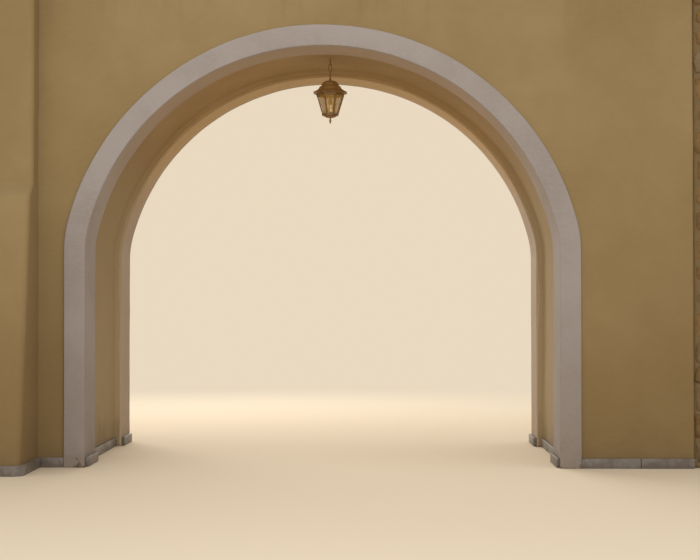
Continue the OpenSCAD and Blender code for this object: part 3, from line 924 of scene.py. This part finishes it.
def white_plaster():
    """White limewash of the surrounds: stained, cracked, worn at the foot and painted inside, with
    painted shade low down and painted warm bounce light inside the opening.
    """
    s = Shader("white_plaster", 0.88)
    s.set("Specular IOR Level", 0.25)
    white = srgb(159, 152, 150)
    colour = s.mix(s.share(s.noise(0.5, 4, 0.6), 0.35, 0.7), white, srgb(149, 141, 137))
    brush = s.share(s.noise(0.03, 5, 0.6, (1, 1, 2.2)), 0.4, 0.7, 0.0, 0.3)
    colour = s.mix(brush, colour, srgb(165, 158, 156))
    stain = s.share(s.noise(0.13, 5, 0.65, twist=0.8), 0.58, 0.8, 0.0, 0.4)
    colour = s.mix(stain, colour, srgb(148, 134, 117))
    crack = s.share(s.crack_lines(0.55), 0.0, 0.004, 0.18, 0.0)
    crack = s.times(crack, s.share(s.noise(0.4, 3), 0.5, 0.6))
    colour = s.mix(crack, colour, srgb(120, 106, 92))
    # Darker low down: painted shade
    colour = s.mix(s.share(s.height(), 0.1, 1.5, 0.4, 0.0), colour, srgb(132, 120, 110))
    colour = splash(s, colour, srgb(128, 116, 104), 0.22, 0.5)
    depth = s.math("ABSOLUTE", s.height("Y"))
    # Inside the opening the white is painted warmer overhead, and all over at the back: painted
    # warm bounce light from the yellow passage
    overhead = s.share(s.height(), HAUNCH_Z, CROWN_Z - 0.25)
    back = s.share(s.height("Y"), -INNER_Y, INNER_Y)
    warm_bounce_back = s.times(back, s.share(overhead, 0, 1, 0.35, 0.85))
    warm_bounce = s.math("MAXIMUM", s.times(overhead, 0.45), warm_bounce_back)
    inside = s.share(depth, FACE_Y - 0.03, FACE_Y, 1.0, 0.0)
    bounce_tint = s.mix(back, srgb(172, 140, 94), srgb(188, 158, 112))
    colour = s.mix(s.times(inside, warm_bounce), colour, bounce_tint)
    # The edge that faces the passage is painted with it, in the coat that is lightened as painted
    # light
    wobble = s.share(s.noise(0.09, 3), 0, 1, -0.002, 0.002)
    inner = s.math("LESS_THAN", s.math("ADD", depth, wobble), INNER_Y + 0.004)
    colour = s.mix(inner, colour, edge_paint_with_painted_light(s))
    ragged = s.share(s.noise(0.006, 3), 0, 1, -0.2, 0.2)
    bare = s.share(s.math("ADD", s.stored("bare"), ragged), 0.3, 0.5)
    colour = s.mix(bare, colour, s.mix(s.noise(0.01, 4), srgb(88, 76, 64), srgb(124, 110, 94)))
    s.set("Base Color", colour)
    floated = s.noise(0.025, 6, 0.6, (1, 1, 1.6), 0.3)
    s.bump([(floated, 0.0012), (s.noise(0.003, 3, 0.6), 0.0004)])
    return s.material


def marble():
    """Honed grey-white marble, with a tone for each slab."""
    s = Shader("marble", 0.42)
    s.set("Specular IOR Level", 0.4)
    base = s.mix(s.stored("tone"), srgb(120, 113, 109), srgb(106, 100, 96))
    cloud = s.share(s.noise(0.12, 6, 0.62, twist=1.2), 0.35, 0.7, 0.0, 0.6)
    colour = s.mix(cloud, base, srgb(130, 124, 120))
    bend = s.noise(0.16, 5, 0.6, twist=1.5)
    vein = s.share(s.math("ABSOLUTE", s.math("SUBTRACT", bend, 0.5)), 0.0, 0.022, 0.55, 0.0)
    colour = s.mix(vein, colour, srgb(92, 88, 86))
    grime = s.share(s.noise(0.05, 5, 0.7), 0.5, 0.75, 0.0, 0.45)
    colour = s.mix(grime, colour, srgb(102, 90, 76))
    colour = splash(s, colour, srgb(88, 77, 64), 0.05, 0.5)
    s.set("Base Color", colour)
    s.set("Roughness", s.share(s.noise(0.04, 5), 0.3, 0.7, 0.34, 0.58))
    s.bump([(s.noise(0.02, 5, 0.6), 0.0006), (s.noise(0.003, 2), 0.0002)])
    return s.material


def field_stone():
    """Rough brown stone, with a tone for each stone."""
    s = Shader("field_stone", 0.9)
    s.set("Specular IOR Level", 0.25)
    tone = s.stored("tone")
    base = s.mix(s.share(tone, 0.0, 0.6), srgb(144, 113, 72), srgb(121, 93, 59))
    base = s.mix(s.share(tone, 0.55, 1.0), base, srgb(133, 114, 88))
    mottle = s.share(s.noise(0.05, 6, 0.65, twist=0.5), 0.35, 0.7, 0.0, 0.7)
    colour = s.mix(mottle, base, srgb(101, 78, 49))
    pale = s.share(s.noise(0.11, 5, 0.6), 0.55, 0.75, 0.0, 0.5)
    colour = s.mix(pale, colour, srgb(158, 133, 94))
    speck = s.share(s.noise(0.006, 3, 0.6), 0.58, 0.75, 0.0, 0.5)
    colour = s.mix(speck, colour, srgb(84, 68, 52))
    colour = splash(s, colour, srgb(96, 80, 60), 0.25, 0.45)
    s.set("Base Color", colour)
    s.bump([(s.noise(0.03, 8, 0.7), 0.006), (s.noise(0.005, 4, 0.7), 0.0014)])
    return s.material


def lime_mortar():
    """Gritty mortar between the stones of the pier."""
    s = Shader("lime_mortar", 0.95)
    s.set("Specular IOR Level", 0.15)
    colour = s.mix(s.noise(0.08, 5, 0.6), srgb(138, 117, 84), srgb(115, 95, 66))
    grit = s.share(s.noise(0.004, 3, 0.6), 0.5, 0.7, 0.0, 0.5)
    colour = s.mix(grit, colour, srgb(96, 82, 64))
    s.set("Base Color", colour)
    s.bump([(s.noise(0.012, 6, 0.7), 0.003), (s.noise(0.003, 3), 0.0008)])
    return s.material


def lime_screed():
    """Weathered screed of the flat top, with lichen and cracks."""
    s = Shader("lime_screed", 0.93)
    s.set("Specular IOR Level", 0.2)
    patch = s.share(s.noise(0.5, 5, 0.6), 0.3, 0.7)
    colour = s.mix(patch, srgb(166, 156, 142), srgb(144, 134, 119))
    lichen = s.share(s.noise(0.07, 6, 0.7, twist=0.8), 0.56, 0.7, 0.0, 0.6)
    colour = s.mix(lichen, colour, srgb(112, 104, 88))
    crack = s.share(s.crack_lines(0.5), 0.0, 0.006, 0.6, 0.0)
    colour = s.mix(crack, colour, srgb(86, 78, 68))
    s.set("Base Color", colour)
    s.bump([(s.noise(0.03, 6, 0.65), 0.002), (s.noise(0.004, 3), 0.0007)])
    return s.material


def dark_bronze():
    """Worn bronze paint of the lantern, its chain and its hook."""
    s = Shader("dark_bronze", 0.5)
    s.set("Metallic", 0.1)
    patch = s.share(s.noise(0.03, 5, 0.6), 0.35, 0.7)
    colour = s.mix(patch, srgb(138, 103, 54), srgb(120, 89, 45))
    rub = s.share(s.noise(0.008, 5, 0.7), 0.6, 0.78, 0.0, 0.35)
    colour = s.mix(rub, colour, srgb(150, 116, 68))
    # Where it faces upwards the paint is lighter: dust, and painted light that offsets its shade
    # under the vault
    upward = s.add("ShaderNodeSeparateXYZ", {0: s.add("ShaderNodeNewGeometry").outputs["Normal"]})
    patchy = s.share(s.noise(0.02, 5), 0.3, 0.7, 0.75, 1.0)
    dust_and_painted_light = s.times(s.share(upward.outputs["Z"], 0.0, 0.35), patchy)
    colour = s.mix(dust_and_painted_light, colour, srgb(174, 138, 82))
    s.set("Base Color", colour)
    s.set("Roughness", s.share(s.noise(0.012, 4), 0.3, 0.7, 0.42, 0.65))
    s.bump([(s.noise(0.006, 5, 0.6), 0.0004)])
    return s.material


def lantern_pane():
    """Dusty see-through glass of the lantern."""
    s = Shader("lantern_pane", 0.3)
    dust = s.share(s.noise(0.05, 3, 0.45), 0.3, 0.75)
    s.set("Base Color", s.mix(dust, srgb(214, 174, 96), srgb(202, 162, 88)))
    s.set("Alpha", s.share(dust, 0, 1, 0.36, 0.43))
    s.set("Specular IOR Level", 0.3)
    return s.material


def ivory_holder():
    """Uneven ivory glaze of the lamp holder, darkened to brown as painted shade."""
    s = Shader("ivory_holder", 0.4)
    drip = s.share(s.noise(0.012, 4, 0.6, (1, 1, 0.3)), 0.4, 0.7)
    # Brown instead of ivory: painted shade of the holder inside the lantern
    s.set("Base Color", s.mix(drip, srgb(164, 142, 98), srgb(148, 126, 84)))
    s.bump([(s.noise(0.006, 3, 0.5, (1, 1, 0.4)), 0.0005)])
    return s.material


def bulb_glass():
    """Frosted glass of the bulb."""
    s = Shader("bulb_glass", 0.3)
    s.set("Base Color", s.mix(s.noise(0.02, 3), srgb(240, 224, 192), srgb(232, 214, 180)))
    s.set("Transmission Weight", 0.8)
    s.set("IOR", 1.15)
    return s.material


MATERIALS = {
    "ochre_render": ochre_render(),
    "passage_render": passage_render(),
    "white_plaster": white_plaster(),
    "marble": marble(),
    "field_stone": field_stone(),
    "lime_screed": lime_screed(),
    "dark_bronze": dark_bronze(),
    "lantern_pane": lantern_pane(),
    "ivory_holder": ivory_holder(),
    "bulb_glass": bulb_glass(),
}
MORTAR = lime_mortar()

# Every CAD node takes the material of its slot
for subpart in frame["record"]["subparts"]:
    mesh = frame["nodes"][subpart["node"]].data
    mesh.materials.clear()
    mesh.materials.append(MATERIALS[subpart["material_slot"]])


# The masonry

for side, word in ((-1, "front"), (1, "back")):
    chips = FRONT_CHIPS if side < 0 else BACK_CHIPS
    white_surround(f"{word}_surround_plaster", side, chips, 11 + side,
                   [f"{word}_jamb_left", f"{word}_jamb_right", f"{word}_arch_ring"],
                   MATERIALS["white_plaster"])
    wall_face(f"{word}_wall_render", side, 6 + side,
              [f"{word}_wall_left", f"{word}_wall_right", f"{word}_wall_head"],
              MATERIALS["ochre_render"])
left_end(MATERIALS["ochre_render"])
passage_lining(MATERIALS["passage_render"])
pier_mortar(MORTAR)
pier_stones(MATERIALS["field_stone"])
roof_screed(MATERIALS["lime_screed"])

# Node, axis along which the slabs lie, and their length
SLAB_ROWS = [
    ("coping_front", 0, 0.95), ("coping_back", 0, 0.95), ("coping_left_end", 1, 0.87),
    ("buttress_cap_front", 0, 0.98), ("buttress_cap_back", 0, 0.98), ("stone_pier_cap", 1, 0.76),
    ("skirting_front_left", 0, 0.3), ("skirting_front_right", 0, 0.33),
    ("skirting_back_left", 0, 0.3), ("skirting_back_right", 0, 0.33),
    ("skirting_front_reveals", 1, 0.3), ("skirting_back_reveals", 1, 0.3),
    ("skirting_passage", 1, 0.44),
]
for number, (node, axis, slab_l) in enumerate(SLAB_ROWS):
    worn = SKIRTING_WORN if "skirting" in node else COPING_WORN
    slab_row(node, axis, slab_l, worn, 60 + number, MATERIALS["marble"])


# Worn edges on the pieces that keep their CAD shape

def wear_edges(node):
    """Rounds the sharp edges of a skirting."""
    modifier = frame["nodes"][node].modifiers.new("worn_edges", "BEVEL")
    modifier.width = SKIRTING_WORN
    modifier.segments = 2
    modifier.limit_method = "ANGLE"
    modifier.angle_limit = math.radians(40)


for node in ("skirting_buttress_front", "skirting_buttress_back"):
    wear_edges(node)


# Stage, light and camera

FLOOR_COLOUR = srgb(224, 210, 187)
BACKDROP_COLOUR = srgb(233, 217, 192)


def floor():
    """Wide pale floor, a millimetre below the gate."""
    size = 60
    plan = [(-size, -size), (size, -size), (size, size), (-size, size)]
    mesh = bpy.data.meshes.new("floor")
    mesh.from_pydata([(x, y, -0.001) for x, y in plan], [], [(0, 1, 2, 3)])
    s = Shader("pale_floor", 0.9)
    s.set("Specular IOR Level", 0.1)
    s.set("Base Color", FLOOR_COLOUR)
    fade_far_away(s)
    mesh.materials.append(s.material)
    piece = bpy.data.objects.new("floor", mesh)
    bpy.context.scene.collection.objects.link(piece)


def seen_directly(tree):
    """1 for rays that show the backdrop: those of the camera, of gloss and of glass."""
    path = tree.nodes.new("ShaderNodeLightPath")
    seen = path.outputs["Is Camera Ray"]
    for ray in ("Is Glossy Ray", "Is Transmission Ray"):
        either = tree.nodes.new("ShaderNodeMath")
        either.operation = "MAXIMUM"
        tree.links.new(seen, either.inputs[0])
        tree.links.new(path.outputs[ray], either.inputs[1])
        seen = either.outputs[0]
    return seen


def fade_far_away(s):
    """Lets the floor turn into the background at a distance from the object."""
    along = s.math("POWER", s.height("X"), 2.0)
    across = s.math("POWER", s.height("Y"), 2.0)
    distance = s.math("SQRT", s.math("ADD", along, across))
    share = s.times(s.share(distance, 2.6, 6.5), seen_directly(s.tree))
    glow = s.add("ShaderNodeEmission", {"Color": BACKDROP_COLOUR})
    inputs = {0: share, 1: s.surface.outputs[0], 2: glow.outputs[0]}
    blend = s.add("ShaderNodeMixShader", inputs)
    s.tree.links.new(blend.outputs[0], s.tree.nodes["Material Output"].inputs["Surface"])


def studio_world():
    """Even light from all around, with a pale background behind the object."""
    world = bpy.data.worlds.new("studio")
    bpy.context.scene.world = world
    world.use_nodes = True
    tree = world.node_tree
    tree.nodes.clear()
    seen = seen_directly(tree)
    backgrounds = []
    for colour, strength in ((srgb(255, 249, 241), 0.80), (BACKDROP_COLOUR, 1.0)):
        node = tree.nodes.new("ShaderNodeBackground")
        node.inputs["Color"].default_value = colour
        node.inputs["Strength"].default_value = strength
        backgrounds.append(node)
    mix = tree.nodes.new("ShaderNodeMixShader")
    out = tree.nodes.new("ShaderNodeOutputWorld")
    tree.links.new(seen, mix.inputs[0])
    tree.links.new(backgrounds[0].outputs[0], mix.inputs[1])
    tree.links.new(backgrounds[1].outputs[0], mix.inputs[2])
    tree.links.new(mix.outputs[0], out.inputs[0])


def soft_light(name, place, target, size, power, colour):
    """Square lamp at a place, turned to a target and not seen by the camera itself."""
    data = bpy.data.lights.new(name, "AREA")
    data.size = size
    data.energy = power
    data.color = colour
    light = bpy.data.objects.new(name, data)
    light.location = place
    light.rotation_mode = "QUATERNION"
    light.rotation_quaternion = (Vector(target) - Vector(place)).to_track_quat("-Z", "Y")
    light.visible_camera = False
    bpy.context.scene.collection.objects.link(light)


def camera():
    """Camera at the photograph's place."""
    data = bpy.data.cameras.new("camera")
    data.sensor_width = 36
    data.lens = CAMERA_LENS
    yaw, pitch = math.radians(CAMERA_YAW), math.radians(CAMERA_PITCH)
    forward = Vector((-math.sin(yaw) * math.cos(pitch), math.cos(yaw) * math.cos(pitch),
                      math.sin(pitch)))
    piece = bpy.data.objects.new("camera", data)
    piece.location = CAMERA_PLACE
    piece.rotation_mode = "QUATERNION"
    piece.rotation_quaternion = forward.to_track_quat("-Z", "Y")
    bpy.context.scene.collection.objects.link(piece)
    bpy.context.scene.camera = piece


floor()
studio_world()
soft_light("key", (-0.1, -5.6, 3.6), (-0.1, -0.75, 2.5), 3.2, 84, (1.0, 0.97, 0.94))
soft_light("low", (0.9, -9.5, 1.2), (0, 0, 1.6), 3.0, 30, (1.0, 0.97, 0.94))
soft_light("back", (-3.0, 7.8, 4.8), (0, 0, 0.8), 7.5, 620, (1.0, 0.94, 0.86))
camera()
bpy.context.scene.view_settings.view_transform = "Standard"
